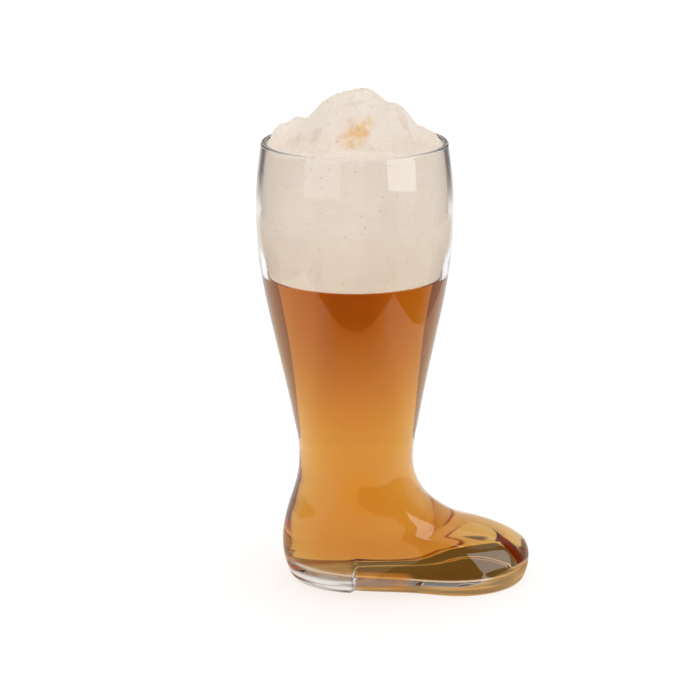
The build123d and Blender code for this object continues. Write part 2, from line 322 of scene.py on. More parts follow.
# the beer: fills the glass up to its level
NB = 160
GAP = 0.06
rings = []
p, xm = inner_ring(0.0, NB, GAP)
rings += shrink(p, xm, np.linspace(0.03, 0.97, 20), lambda x: floor(x) + GAP)
for lv in inner_levels(BEER_LEVEL - GAP, 3.0):
    p, xm = inner_ring(lv, NB, GAP)
    rings.append(p)
rings += shrink(rings[-1], float(lean(BEER_LEVEL)), np.linspace(0.97, 0.02, 20))
beer = mesh_from_rings("beer_fill", rings)

# the foam: fills the glass above the beer and is heaped over the lip
NF = 320
FOAM_GAP = 0.20


# height of the heap above the lip along its ridge, and how deep it is
RIDGE_X = [-52, -47.5, -45.2, -42, -38.8, -35.6, -32.4, -29.2, -26, -22.8, -19.6, -14, -10, -4, 0, 4.5,
           9.2, 12.4, 15.6, 18.8, 22, 25.2, 28.4, 31.6, 34.8, 38, 41.2, 44.4, 47.5, 52]
RIDGE_H = [0, 0.3, 2.6, 6.2, 8.2, 9.4, 10.5, 10.9, 11.4, 14.1, 16.9, 21.2, 23.4, 25.2, 25.8, 26.1,
           25.0, 23.4, 21.8, 19.6, 18.0, 16.3, 13.6, 10.3, 7.4, 6.2, 3.8, 2.2, 0.3, 0]
DEPTH_X = [-48, -38, -29, -20, -8, 4, 16, 26, 34, 40, 48]
DEPTH_Y = [12, 19, 18, 25, 28, 29, 28, 25, 19, 18, 12]
ridge_h, depth_y = spline(RIDGE_X, RIDGE_H), spline(DEPTH_X, DEPTH_Y)


def foam_height(x, y):
    """Top of the foam over the mouth, in mm above the resting plane: a dome between two
    lumps, and a shelf in front of it."""
    x = np.clip(x, -48, 48)
    middle = 4.0 + 4.0 * smooth(-22, -34, x) + 3.0 * smooth(28, 38, x)
    t = np.abs(y - middle) / np.where(y < middle, depth_y(x), depth_y(x) * 1.5)
    bell = 0.5 * (1 + np.cos(math.pi * np.clip(t, 0, 1)))
    shelf = 1.5 * np.exp(-((y + 33) / 8.0) ** 2) * np.exp(-((x - 2) / 26.0) ** 2)
    return 249.0 + ridge_h(x) * bell ** 0.85 + shelf


def foam_noise(p, scale, octaves=3):
    return noise.fractal(Vector((p[0] * scale, p[1] * scale, p[2] * scale)), 1.0, 2.0, octaves, noise_basis="PERLIN_ORIGINAL")


rings = []
z0 = BEER_LEVEL + 0.05
p0, _ = inner_ring(z0, NF, FOAM_GAP + 1.1)
p0[:, 2] = z0
rings += shrink(p0, float(lean(z0)), np.linspace(0.05, 0.97, 16))
for z in np.linspace(z0, 247.6, 72):
    p, _ = inner_ring(z, NF, FOAM_GAP + 1.1 * float(smooth(200, 180, z)))
    rings.append(p)
edge = rings[-1]
c0 = float(lean(247.6))
for f in list(np.linspace(0.995, 0.90, 12)) + list(np.linspace(0.885, 0.02, 70)):
    x = c0 + (edge[:, 0] - c0) * f
    y = edge[:, 1] * f
    h = foam_height(x, y)
    k = smooth(1.0, 0.955, f)
    z = 247.6 * (1 - k) + h * k
    amount = float(smooth(1.0, 0.88, f))
    dz = np.array([1.5 * foam_noise((px, py, 3.0), 0.085, 2) + 0.85 * foam_noise((px, py, 9.0), 0.26, 3)
                   + 0.26 * foam_noise((px, py, 5.0), 0.9, 2) for px, py in zip(x, y)])
    rings.append(np.stack([x, y, z + amount * dz], -1))
top = max(float(p[:, 2].max()) for p in rings)
limit = 277.3
for p in rings:
    hi = p[:, 2] > 250
    p[hi, 2] = 250 + (p[hi, 2] - 250) * (limit - 250) / (top - 250)
foam = mesh_from_rings("foam_heap", rings)


# ------------------------------------------------------------------- materials
def new_material(name):
    m = bpy.data.materials.new(name)
    m.use_nodes = True
    m.node_tree.nodes.clear()
    return m, m.node_tree.nodes, m.node_tree.links


def see_through_for_light(nodes, links, shader, tint=(1, 1, 1, 1)):
    """Lets lamps and bounced light go straight through, as thin clear glass does."""
    path = nodes.new("ShaderNodeLightPath")
    either = nodes.new("ShaderNodeMath")
    either.operation = "MAXIMUM"
    links.new(path.outputs["Is Shadow Ray"], either.inputs[0])
    links.new(path.outputs["Is Diffuse Ray"], either.inputs[1])
    clear = nodes.new("ShaderNodeBsdfTransparent")
    clear.inputs["Color"].default_value = tint
    mix = nodes.new("ShaderNodeMixShader")
    links.new(either.outputs[0], mix.inputs[0])
    links.new(shader, mix.inputs[1])
    links.new(clear.outputs[0], mix.inputs[2])
    return mix.outputs[0]


def gradient(nodes, links, source, lo, hi):
    """0 below lo, 1 above hi, eased between them."""
    g = nodes.new("ShaderNodeMapRange")
    g.interpolation_type = "SMOOTHSTEP"
    g.inputs["From Min"].default_value = lo
    g.inputs["From Max"].default_value = hi
    links.new(source, g.inputs["Value"])
    return g.outputs[0]


def times(nodes, links, a, b):
    m = nodes.new("ShaderNodeMath")
    m.operation = "MULTIPLY"
    links.new(a, m.inputs[0])
    if isinstance(b, float):
        m.inputs[1].default_value = b
    else:
        links.new(b, m.inputs[1])
    return m.outputs[0]


def glass_material(name, ior, outside):
    m, nodes, links = new_material(name)
    out = nodes.new("ShaderNodeOutputMaterial")
    b = nodes.new("ShaderNodeBsdfPrincipled")
    b.inputs["Base Color"].default_value = (1.0, 1.0, 1.0, 1)
    b.inputs["Transmission Weight"].default_value = 1.0
    b.inputs["IOR"].default_value = ior
    b.inputs["Roughness"].default_value = 0.0
    if outside:
        coord = nodes.new("ShaderNodeTexCoord")
        sep = nodes.new("ShaderNodeSeparateXYZ")
        links.new(coord.outputs["Object"], sep.inputs[0])
        # painted light: the thin front sole is coloured amber for the light that the beer throws on the table under
        # it; its mould was a little rough
        raised = nodes.new("ShaderNodeMath")
        raised.operation = "SUBTRACT"
        links.new(sep.outputs["Z"], raised.inputs[0])
        links.new(times(nodes, links, gradient(nodes, links, sep.outputs["X"], 0.034, 0.076), 0.007), raised.inputs[1])
        low = gradient(nodes, links, raised.outputs[0], 0.0074, 0.0058)
        fore = gradient(nodes, links, sep.outputs["X"], (AXIS_X - 2.0) / 1000, (AXIS_X + 2.5) / 1000)
        lift = gradient(nodes, links, sep.outputs["Z"], 0.0004, 0.0009)
        near = gradient(nodes, links, sep.outputs["Y"], -0.002, -0.009)
        sole = times(nodes, links, times(nodes, links, low, fore), times(nodes, links, lift, near))
        tint = nodes.new("ShaderNodeMix")
        tint.data_type = "RGBA"
        tint.inputs["A"].default_value = (1, 1, 1, 1)
        tint.inputs["B"].default_value = (0.86, 0.44, 0.10, 1)
        links.new(sole, tint.inputs["Factor"])
        lip = nodes.new("ShaderNodeMix")
        lip.data_type = "RGBA"
        lip.inputs["B"].default_value = (0.86, 0.81, 0.77, 1)
        links.new(gradient(nodes, links, sep.outputs["Z"], 0.2470, 0.2484), lip.inputs["Factor"])
        links.new(tint.outputs["Result"], lip.inputs["A"])
        links.new(lip.outputs["Result"], b.inputs["Base Color"])
        under = gradient(nodes, links, sep.outputs["Z"], 0.0012, 0.0004)
        rough = nodes.new("ShaderNodeMath")
        rough.operation = "MAXIMUM"
        links.new(times(nodes, links, sole, 0.30), rough.inputs[0])
        aft = gradient(nodes, links, sep.outputs["X"], (AXIS_X + 1.0) / 1000, (AXIS_X - 3.0) / 1000)
        links.new(times(nodes, links, times(nodes, links, under, aft), 0.45), rough.inputs[1])
        links.new(rough.outputs[0], b.inputs["Roughness"])
        # slow waves of blown glass, and fine pitting below the lip
        slow = nodes.new("ShaderNodeTexNoise")
        slow.inputs["Scale"].default_value = 26.0
        slow.inputs["Detail"].default_value = 1.0
        links.new(coord.outputs["Object"], slow.inputs["Vector"])
        pits = nodes.new("ShaderNodeTexNoise")
        pits.inputs["Scale"].default_value = 640.0
        pits.inputs["Detail"].default_value = 2.0
        links.new(coord.outputs["Object"], pits.inputs["Vector"])
        near_lip = gradient(nodes, links, sep.outputs["Z"], 0.205, 0.236)
        across = nodes.new("ShaderNodeMath")
        across.operation = "SUBTRACT"
        across.inputs[1].default_value = AXIS_X / 1000
        links.new(sep.outputs["X"], across.inputs[0])
        off = nodes.new("ShaderNodeMath")
        off.operation = "ABSOLUTE"
        links.new(across.outputs[0], off.inputs[0])
        more = nodes.new("ShaderNodeMath")
        more.operation = "MULTIPLY_ADD"
        more.inputs[1].default_value = 0.30
        more.inputs[2].default_value = 0.05
        links.new(gradient(nodes, links, off.outputs[0], 0.044, 0.051), more.inputs[0])
        fine = times(nodes, links, times(nodes, links, pits.outputs["Fac"], near_lip), more.outputs[0])
        layer = nodes.new("ShaderNodeMapping")
        layer.inputs["Scale"].default_value = (22.0, 22.0, 420.0)
        links.new(coord.outputs["Object"], layer.inputs["Vector"])
        streaks = nodes.new("ShaderNodeTexNoise")
        streaks.inputs["Scale"].default_value = 1.0
        streaks.inputs["Detail"].default_value = 1.5
        links.new(layer.outputs[0], streaks.inputs["Vector"])
        heel = times(nodes, links, aft, gradient(nodes, links, sep.outputs["Z"], 0.0105, 0.0075))
        folds = times(nodes, links, times(nodes, links, streaks.outputs["Fac"], heel), 2.2)
        # clouded layers of glass in the heel and along the sole
        cloud = gradient(nodes, links, streaks.outputs["Fac"], 0.40, 0.58)
        veil = nodes.new("ShaderNodeMath")
        veil.operation = "MULTIPLY_ADD"
        links.new(times(nodes, links, sole, 0.42), veil.inputs[0])
        links.new(cloud, veil.inputs[1])
        links.new(times(nodes, links, sole, 0.12), veil.inputs[2])
        milky = nodes.new("ShaderNodeMath")
        milky.operation = "MULTIPLY_ADD"
        links.new(times(nodes, links, times(nodes, links, heel, near), 0.65), milky.inputs[0])
        links.new(cloud, milky.inputs[1])
        links.new(veil.outputs[0], milky.inputs[2])
        clear = nodes.new("ShaderNodeMath")
        clear.operation = "SUBTRACT"
        # worn, paler lip along the near side
        worn = nodes.new("ShaderNodeMath")
        worn.operation = "MULTIPLY_ADD"
        worn.inputs[1].default_value = -0.24
        worn.inputs[2].default_value = 1.0
        links.new(times(nodes, links, gradient(nodes, links, sep.outputs["Z"], 0.2470, 0.2484),
                        gradient(nodes, links, sep.outputs["Y"], -0.014, -0.032)), worn.inputs[0])
        links.new(worn.outputs[0], clear.inputs[0])
        links.new(milky.outputs[0], clear.inputs[1])
        links.new(clear.outputs[0], b.inputs["Transmission Weight"])
        both = nodes.new("ShaderNodeMath")
        both.operation = "ADD"
        links.new(slow.outputs["Fac"], both.inputs[0])
        links.new(fine, both.inputs[1])
        all_of = nodes.new("ShaderNodeMath")
        all_of.operation = "ADD"
        links.new(both.outputs[0], all_of.inputs[0])
        links.new(folds, all_of.inputs[1])
        bump = nodes.new("ShaderNodeBump")
        bump.inputs["Strength"].default_value = 0.25
        bump.inputs["Distance"].default_value = 0.0006
        links.new(all_of.outputs[0], bump.inputs["Height"])
        links.new(bump.outputs["Normal"], b.inputs["Normal"])
    links.new(see_through_for_light(nodes, links, b.outputs[0], (0.97, 0.97, 0.97, 1)), out.inputs["Surface"])
    return m


def beer_material():
    m, nodes, links = new_material("beer_amber")
    out = nodes.new("ShaderNodeOutputMaterial")
    b = nodes.new("ShaderNodeBsdfPrincipled")
    b.inputs["Base Color"].default_value = (1.0, 1.0, 1.0, 1)
    b.inputs["Transmission Weight"].default_value = 1.0
    b.inputs["IOR"].default_value = 1.0
    b.inputs["Roughness"].default_value = 0.0
    v = nodes.new("ShaderNodeVolumeAbsorption")
    v.inputs["Color"].default_value = (0.893, 0.66, 0.09, 1)
    v.inputs["Density"].default_value = 70.0
    links.new(see_through_for_light(nodes, links, b.outputs[0]), out.inputs["Surface"])
    links.new(v.outputs[0], out.inputs["Volume"])
    return m


def foam_material():
    m, nodes, links = new_material("foam_cream")
    out = nodes.new("ShaderNodeOutputMaterial")
    b = nodes.new("ShaderNodeBsdfPrincipled")
    b.inputs["Roughness"].default_value = 0.75
    b.inputs["Subsurface Weight"].default_value = 0.25
    b.inputs["Subsurface Radius"].default_value = (1.0, 0.75, 0.5)
    b.inputs["Subsurface Scale"].default_value = 0.004
    coord = nodes.new("ShaderNodeTexCoord")
    # cloudy tone
    cloud = nodes.new("ShaderNodeTexNoise")
    cloud.inputs["Scale"].default_value = 38.0
    cloud.inputs["Detail"].default_value = 9.0
    cloud.inputs["Roughness"].default_value = 0.62
    links.new(coord.outputs["Object"], cloud.inputs["Vector"])
    tone = nodes.new("ShaderNodeValToRGB")
    tone.color_ramp.elements[0].position = 0.30
    tone.color_ramp.elements[0].color = (0.745, 0.635, 0.535, 1)
    tone.color_ramp.elements[1].position = 0.68
    tone.color_ramp.elements[1].color = (0.825, 0.715, 0.61, 1)
    links.new(cloud.outputs["Fac"], tone.inputs["Fac"])
    # paler on the heap, warmer towards the beer; painted shade: a little darker towards the sides, more so on the left
    height = nodes.new("ShaderNodeSeparateXYZ")
    links.new(coord.outputs["Object"], height.inputs[0])
    within = gradient(nodes, links, height.outputs["Z"], 0.2500, 0.2440)
    painted_shade_left = times(nodes, links, gradient(nodes, links, height.outputs["X"], (AXIS_X - 33.0) / 1000,
                                          (AXIS_X - 47.0) / 1000), within)
    painted_shade_right = times(nodes, links, gradient(nodes, links, height.outputs["X"], (AXIS_X + 36.0) / 1000,
                                          (AXIS_X + 48.0) / 1000), within)
    shade = tone.outputs["Color"]
    for amount, by in ((gradient(nodes, links, height.outputs["Z"], 0.2500, 0.2560), (1.01, 1.035, 1.065)),
                       (gradient(nodes, links, height.outputs["Z"], 0.2240, 0.1830), (0.915, 0.87, 0.80)),
                       (painted_shade_left, (0.88, 0.86, 0.845)), (painted_shade_right, (0.95, 0.94, 0.93))):
        part = nodes.new("ShaderNodeMix")
        part.data_type = "RGBA"
        part.blend_type = "MULTIPLY"
        part.inputs["B"].default_value = (*by, 1)
        links.new(amount, part.inputs["Factor"])
        links.new(shade, part.inputs["A"])
        shade = part.outputs["Result"]
    # fine froth: small cells
    cells = nodes.new("ShaderNodeTexVoronoi")
    cells.inputs["Scale"].default_value = 1500.0
    links.new(coord.outputs["Object"], cells.inputs["Vector"])
    # open bubbles: sparse dark specks
    speck = nodes.new("ShaderNodeTexVoronoi")
    speck.inputs["Scale"].default_value = 230.0
    links.new(coord.outputs["Object"], speck.inputs["Vector"])
    dot = nodes.new("ShaderNodeMapRange")
    dot.inputs["From Min"].default_value = 0.05
    dot.inputs["From Max"].default_value = 0.14
    dot.inputs["To Min"].default_value = 1.0
    dot.inputs["To Max"].default_value = 0.0
    links.new(speck.outputs["Distance"], dot.inputs["Value"])
    rare = nodes.new("ShaderNodeSeparateColor")
    links.new(speck.outputs["Color"], rare.inputs[0])
    few = nodes.new("ShaderNodeMath")
    few.operation = "GREATER_THAN"
    few.inputs[1].default_value = 0.42
    links.new(rare.outputs[0], few.inputs[0])
    spots = nodes.new("ShaderNodeMath")
    spots.operation = "MULTIPLY"
    links.new(dot.outputs[0], spots.inputs[0])
    links.new(few.outputs[0], spots.inputs[1])
    spot_mix = nodes.new("ShaderNodeMix")
    spot_mix.data_type = "RGBA"
    spot_mix.inputs["B"].default_value = (0.52, 0.38, 0.24, 1)
    half = nodes.new("ShaderNodeMath")
    half.operation = "MULTIPLY"
    half.inputs[1].default_value = 0.42
    links.new(spots.outputs[0], half.inputs[0])
    links.new(half.outputs[0], spot_mix.inputs["Factor"])
    links.new(shade, spot_mix.inputs["A"])
    # painted shade: darker tan in a noise pattern over the heap, for the shade in the creases between its lumps
    fold = nodes.new("ShaderNodeTexNoise")
    fold.inputs["Scale"].default_value = 130.0
    fold.inputs["Detail"].default_value = 5.0
    fold.inputs["Distortion"].default_value = 0.6
    links.new(coord.outputs["Object"], fold.inputs["Vector"])
    crease_shade = times(nodes, links, gradient(nodes, links, fold.outputs["Fac"], 0.47, 0.34),
                   gradient(nodes, links, height.outputs["Z"], 0.2495, 0.2525))
    crease_shade_mix = nodes.new("ShaderNodeMix")
    crease_shade_mix.data_type = "RGBA"
    crease_shade_mix.inputs["B"].default_value = (0.60, 0.48, 0.37, 1)
    links.new(times(nodes, links, crease_shade, 0.36), crease_shade_mix.inputs["Factor"])
    links.new(spot_mix.outputs["Result"], crease_shade_mix.inputs["A"])
    # tan stain that runs down the front of the dome
    place = nodes.new("ShaderNodeVectorMath")
    place.operation = "SUBTRACT"
    place.inputs[1].default_value = ((AXIS_X + 1.0) / 1000, -0.0165, 0.2575)
    links.new(coord.outputs["Object"], place.inputs[0])
    flat = nodes.new("ShaderNodeCombineXYZ")
    for k, axis in enumerate(((58.0, 62.0, 58.0), (140.0, -70.0, -70.0))):
        dot_axis = nodes.new("ShaderNodeVectorMath")
        dot_axis.operation = "DOT_PRODUCT"
        dot_axis.inputs[1].default_value = axis
        links.new(place.outputs[0], dot_axis.inputs[0])
        links.new(dot_axis.outputs["Value"], flat.inputs[k])
    dist = nodes.new("ShaderNodeVectorMath")
    dist.operation = "LENGTH"
    links.new(flat.outputs[0], dist.inputs[0])
    ragged = nodes.new("ShaderNodeTexNoise")
    ragged.inputs["Scale"].default_value = 210.0
    ragged.inputs["Detail"].default_value = 4.0
    links.new(coord.outputs["Object"], ragged.inputs["Vector"])
    shift = nodes.new("ShaderNodeMath")
    shift.operation = "MULTIPLY_ADD"
    shift.inputs[1].default_value = 1.7
    links.new(ragged.outputs["Fac"], shift.inputs[0])
    links.new(dist.outputs["Value"], shift.inputs[2])
    patch = nodes.new("ShaderNodeMapRange")
    patch.interpolation_type = "SMOOTHSTEP"
    patch.inputs["From Min"].default_value = 0.95
    patch.inputs["From Max"].default_value = 2.45
    patch.inputs["To Min"].default_value = 0.95
    patch.inputs["To Max"].default_value = 0.0
    links.new(shift.outputs[0], patch.inputs["Value"])
    stain = nodes.new("ShaderNodeValToRGB")
    stain.color_ramp.elements[0].position = 0.35
    stain.color_ramp.elements[0].color = (0.74, 0.42, 0.16, 1)
    stain.color_ramp.elements[1].position = 0.62
    stain.color_ramp.elements[1].color = (0.80, 0.58, 0.33, 1)
    links.new(ragged.outputs["Fac"], stain.inputs["Fac"])
    patch_mix = nodes.new("ShaderNodeMix")
    patch_mix.data_type = "RGBA"
    links.new(stain.outputs["Color"], patch_mix.inputs["B"])
    on_top = gradient(nodes, links, height.outputs["Z"], 0.2465, 0.2500)
    links.new(times(nodes, links, patch.outputs[0], on_top), patch_mix.inputs["Factor"])
    links.new(crease_shade_mix.outputs["Result"], patch_mix.inputs["A"])
    links.new(patch_mix.outputs["Result"], b.inputs["Base Color"])
    # relief: froth cells and soft grain
    grain = nodes.new("ShaderNodeTexNoise")
    grain.inputs["Scale"].default_value = 420.0
    grain.inputs["Detail"].default_value = 3.0
    links.new(coord.outputs["Object"], grain.inputs["Vector"])
    add = nodes.new("ShaderNodeMath")
    add.operation = "MULTIPLY_ADD"
    add.inputs[1].default_value = 0.35
    links.new(cells.outputs["Distance"], add.inputs[0])
    links.new(grain.outputs["Fac"], add.inputs[2])
    sink = nodes.new("ShaderNodeMath")
    sink.operation = "SUBTRACT"
    links.new(add.outputs[0], sink.inputs[0])
    links.new(spots.outputs[0], sink.inputs[1])
    bump = nodes.new("ShaderNodeBump")
    bump.inputs["Strength"].default_value = 0.6
    bump.inputs["Distance"].default_value = 0.0007
    links.new(sink.outputs[0], bump.inputs["Height"])
    links.new(bump.outputs["Normal"], b.inputs["Normal"])
    links.new(b.outputs[0], out.inputs["Surface"])
    return m


glass.data.materials.append(glass_material("glass_clear", 1.5, True))
glass.data.materials.append(glass_material("glass_wet", 1.115, False))
for i, ior in enumerate(CONTACT):
    glass.data.materials.append(glass_material("glass_foamed_%d" % i, ior, False))
beer.data.materials.append(beer_material())
foam.data.materials.append(foam_material())

for piece, node, slot in ((glass, "boot_glass", "clear_glass"), (beer, "beer", "beer"), (foam, "foam_head", "foam")):
    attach(piece, "root")
    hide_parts(node)

# ----------------------------------------------------------------------- stage
scene = bpy.context.scene
ax = AXIS_X / 1000


def sheet(name, corners, material, **seen_by):
    """A flat sheet of the studio, seen only by the kinds of ray that are named."""
    me = bpy.data.meshes.new(name)
    me.from_pydata(corners, [], [tuple(range(len(corners)))])
    me.materials.append(material)
    ob = bpy.data.objects.new(name, me)
    scene.collection.objects.link(ob)
    for kind in ("camera", "diffuse", "glossy", "transmission", "volume_scatter", "shadow"):
        if seen_by:
            setattr(ob, "visible_" + kind, seen_by.get(kind, False))
    return ob


def floor_material():
    m, nodes, links = new_material("floor_pale")
    out = nodes.new("ShaderNodeOutputMaterial")
    b = nodes.new("ShaderNodeBsdfPrincipled")
    b.inputs["Base Color"].default_value = (0.62, 0.62, 0.62, 1)
    b.inputs["Roughness"].default_value = 0.9
    b.inputs["Specular IOR Level"].default_value = 0.0
    b.inputs["Emission Color"].default_value = (1, 1, 1, 1)
    b.inputs["Emission Strength"].default_value = 0.42
    links.new(b.outputs[0], out.inputs["Surface"])
    return m


def apron_material():
    """The same paper at the sides and in front, with painted shade: its colour darkens with the distance, where it is
    less lit.
    """
    m, nodes, links = new_material("apron_paper")
    out = nodes.new("ShaderNodeOutputMaterial")
    coord = nodes.new("ShaderNodeTexCoord")
    dist = nodes.new("ShaderNodeVectorMath")
    dist.operation = "LENGTH"
    links.new(coord.outputs["Object"], dist.inputs[0])
    tone = nodes.new("ShaderNodeMix")
    tone.data_type = "RGBA"
    tone.inputs["A"].default_value = (0.95, 0.95, 0.95, 1)
    tone.inputs["B"].default_value = (0.55, 0.45, 0.35, 1)
    links.new(gradient(nodes, links, dist.outputs["Value"], 0.30, 1.50), tone.inputs["Factor"])
    d = nodes.new("ShaderNodeBsdfDiffuse")
    links.new(tone.outputs["Result"], d.inputs["Color"])
    links.new(d.outputs[0], out.inputs["Surface"])
    return m


def card_material():
    """Dark card that thins out downwards."""
    m, nodes, links = new_material("card_dark")
    out = nodes.new("ShaderNodeOutputMaterial")
    coord = nodes.new("ShaderNodeTexCoord")
    sep = nodes.new("ShaderNodeSeparateXYZ")
    links.new(coord.outputs["Object"], sep.inputs[0])
    e = nodes.new("ShaderNodeEmission")
    e.inputs["Color"].default_value = (0.075, 0.034, 0.015, 1)
    thin = nodes.new("ShaderNodeBsdfTransparent")
    mix = nodes.new("ShaderNodeMixShader")
    links.new(gradient(nodes, links, sep.outputs["Z"], 0.180, 0.214), mix.inputs[0])
    links.new(thin.outputs[0], mix.inputs[1])
    links.new(e.outputs[0], mix.inputs[2])
    links.new(mix.outputs[0], out.inputs["Surface"])
    return m


def table_material():
    """Matt white paper with painted shade: its colour darkens and warms towards its far end, less so towards the
    sides, where it gets less light.
    """
    m, nodes, links = new_material("table_paper")
    out = nodes.new("ShaderNodeOutputMaterial")
    coord = nodes.new("ShaderNodeTexCoord")
    sep = nodes.new("ShaderNodeSeparateXYZ")
    links.new(coord.outputs["Object"], sep.inputs[0])
    fall = nodes.new("ShaderNodeMapRange")
    fall.interpolation_type = "SMOOTHSTEP"
    fall.inputs["From Min"].default_value = 0.30
    fall.inputs["From Max"].default_value = 1.30
    links.new(sep.outputs["Y"], fall.inputs["Value"])
    middle = nodes.new("ShaderNodeMapRange")
    middle.interpolation_type = "SMOOTHSTEP"
    middle.inputs["From Min"].default_value = 0.07
    middle.inputs["From Max"].default_value = 0.31
    middle.inputs["To Min"].default_value = 1.0
    middle.inputs["To Max"].default_value = 0.45
    aside = nodes.new("ShaderNodeMath")
    aside.operation = "ABSOLUTE"
    links.new(sep.outputs["X"], aside.inputs[0])
    links.new(aside.outputs[0], middle.inputs["Value"])
    tone = nodes.new("ShaderNodeMix")
    tone.data_type = "RGBA"
    tone.inputs["A"].default_value = (0.97, 0.97, 0.97, 1)
    tone.inputs["B"].default_value = (0.60, 0.48, 0.36, 1)
    links.new(times(nodes, links, fall.outputs[0], middle.outputs[0]), tone.inputs["Factor"])
    d = nodes.new("ShaderNodeBsdfDiffuse")
    links.new(tone.outputs["Result"], d.inputs["Color"])
    links.new(d.outputs[0], out.inputs["Surface"])
    return m


def glow_material(name, stops, beside):
    """Paper as the glass mirrors it, a painted reflection that glows: its light along Y, as (y, colour) stops. In
    front of the glass it is painted warm for the light that comes through the beer, and dimmer close to the glass as
    painted shadow."""
    m, nodes, links = new_material(name)
    out = nodes.new("ShaderNodeOutputMaterial")
    coord = nodes.new("ShaderNodeTexCoord")
    sep = nodes.new("ShaderNodeSeparateXYZ")
    links.new(coord.outputs["Object"], sep.inputs[0])
    span = nodes.new("ShaderNodeMapRange")
    span.inputs["From Min"].default_value = stops[0][0]
    span.inputs["From Max"].default_value = stops[-1][0]
    links.new(sep.outputs["Y"], span.inputs["Value"])
    ramp = nodes.new("ShaderNodeValToRGB")
    ramp.color_ramp.interpolation = "EASE"
    while len(ramp.color_ramp.elements) < len(stops):
        ramp.color_ramp.elements.new(0.5)
    for e, (y, colour) in zip(ramp.color_ramp.elements, stops):
        e.position = (y - stops[0][0]) / (stops[-1][0] - stops[0][0])
        e.color = (*colour, 1)
    links.new(span.outputs[0], ramp.inputs["Fac"])
    plain = nodes.new("ShaderNodeMix")
    plain.data_type = "RGBA"
    plain.inputs["B"].default_value = (*beside, 1)
    right = gradient(nodes, links, sep.outputs["X"], 0.11, 0.19)
    left = gradient(nodes, links, sep.outputs["X"], -0.13, -0.21)
    sides = nodes.new("ShaderNodeMath")
    sides.operation = "MAXIMUM"
    links.new(right, sides.inputs[0])
    links.new(left, sides.inputs[1])
    links.new(sides.outputs[0], plain.inputs["Factor"])
    links.new(ramp.outputs["Color"], plain.inputs["A"])
    e = nodes.new("ShaderNodeEmission")
    links.new(plain.outputs["Result"], e.inputs["Color"])
    links.new(e.outputs[0], out.inputs["Surface"])
    return m


# The floor that is seen, and the paper-covered table that the glass shows: its front
# edge, its side edges and the dim room beyond them give the glass its dark lines.
F0, F1, FS = -0.243, 4.0, 3.0
sheet("floor", [(-FS, F0, -0.0004), (FS, F0, -0.0004), (FS, F1, -0.0004), (-FS, F1, -0.0004)],
      floor_material(), camera=True, diffuse=True, shadow=True)
sheet("table", [(-0.29, F0, -0.0002), (0.255, F0, -0.0002), (0.36, 0.36, -0.0002), (0.62, 0.87, -0.0002),
                (1.75, 3.5, -0.0002), (-1.80, 3.5, -0.0002), (-0.66, 0.87, -0.0002), (-0.40, 0.36, -0.0002)],
      table_material(), transmission=True)
# painted light and shadow: the table in front as the glass mirrors it, warm for the light through the beer, dimmer
# near the glass for its shadow, brighter at the sides
sheet("table_front", [(-0.45, F0, -0.0002), (0.235, F0, -0.0002), (0.335, 0.36, -0.0002), (-0.45, 0.36, -0.0002)],
      glow_material("table_front_glow", [(-0.25, (0.7, 0.33, 0.08)), (-0.226, (1.6, 0.8, 0.2)), (-0.205, (1.4, 0.85, 0.35)), (-0.165, (1.1, 0.9, 0.6)),
                                         (-0.02, (0.6, 0.55, 0.45)), (0.20, (0.95, 0.95, 0.95))],
                    (1.12, 0.98, 0.78)), glossy=True)
sheet("table_back", [(-0.45, 0.36, -0.0002), (0.335, 0.36, -0.0002), (1.4, F1, -0.0002), (-1.5, F1, -0.0002)],
      glow_material("table_back_glow", [(0.3, (0.95, 0.95, 0.95)), (0.7, (1.0, 1.0, 1.0))], (0.95, 0.95, 0.95)), glossy=True)

apron = apron_material()
sheet("apron_fore", [(-0.29, F0, -0.0003), (-1.2, -3.0, -0.0003), (1.2, -3.0, -0.0003), (0.255, F0, -0.0003)],
      apron, transmission=True)
sheet("apron_left", [(-0.29, F0, -0.0003), (-0.345, 0.06, -0.0003), (-3.0, 0.9, -0.0003), (-3.0, -2.4, -0.0003)],
      apron, transmission=True)
sheet("apron_right", [(0.255, F0, -0.0003), (3.0, -2.4, -0.0003), (3.0, 0.9, -0.0003), (0.308, 0.06, -0.0003)],
      apron, transmission=True)
# dark cards behind the glass, at both sides, that edge its upper wall
card = card_material()
sheet("card_left", [(-0.168, 0.12, 0.180), (-0.092, 0.12, 0.180), (-0.092, 0.12, 0.262), (-0.168, 0.12, 0.262)],
      card, transmission=True)
sheet("card_right", [(0.044, 0.12, 0.190), (0.120, 0.12, 0.190), (0.120, 0.12, 0.262), (0.044, 0.12, 0.262)],
      card, transmission=True)

DOME_LIGHT = 1.05
world = bpy.data.worlds.new("studio")
scene.world = world
world.use_nodes = True
world.cycles.sampling_method = "NONE"
nodes, links = world.node_tree.nodes, world.node_tree.links
nodes.clear()
out = nodes.new("ShaderNodeOutputWorld")
coord = nodes.new("ShaderNodeTexCoord")
sep = nodes.new("ShaderNodeSeparateXYZ")
links.new(coord.outputs["Generated"], sep.inputs[0])
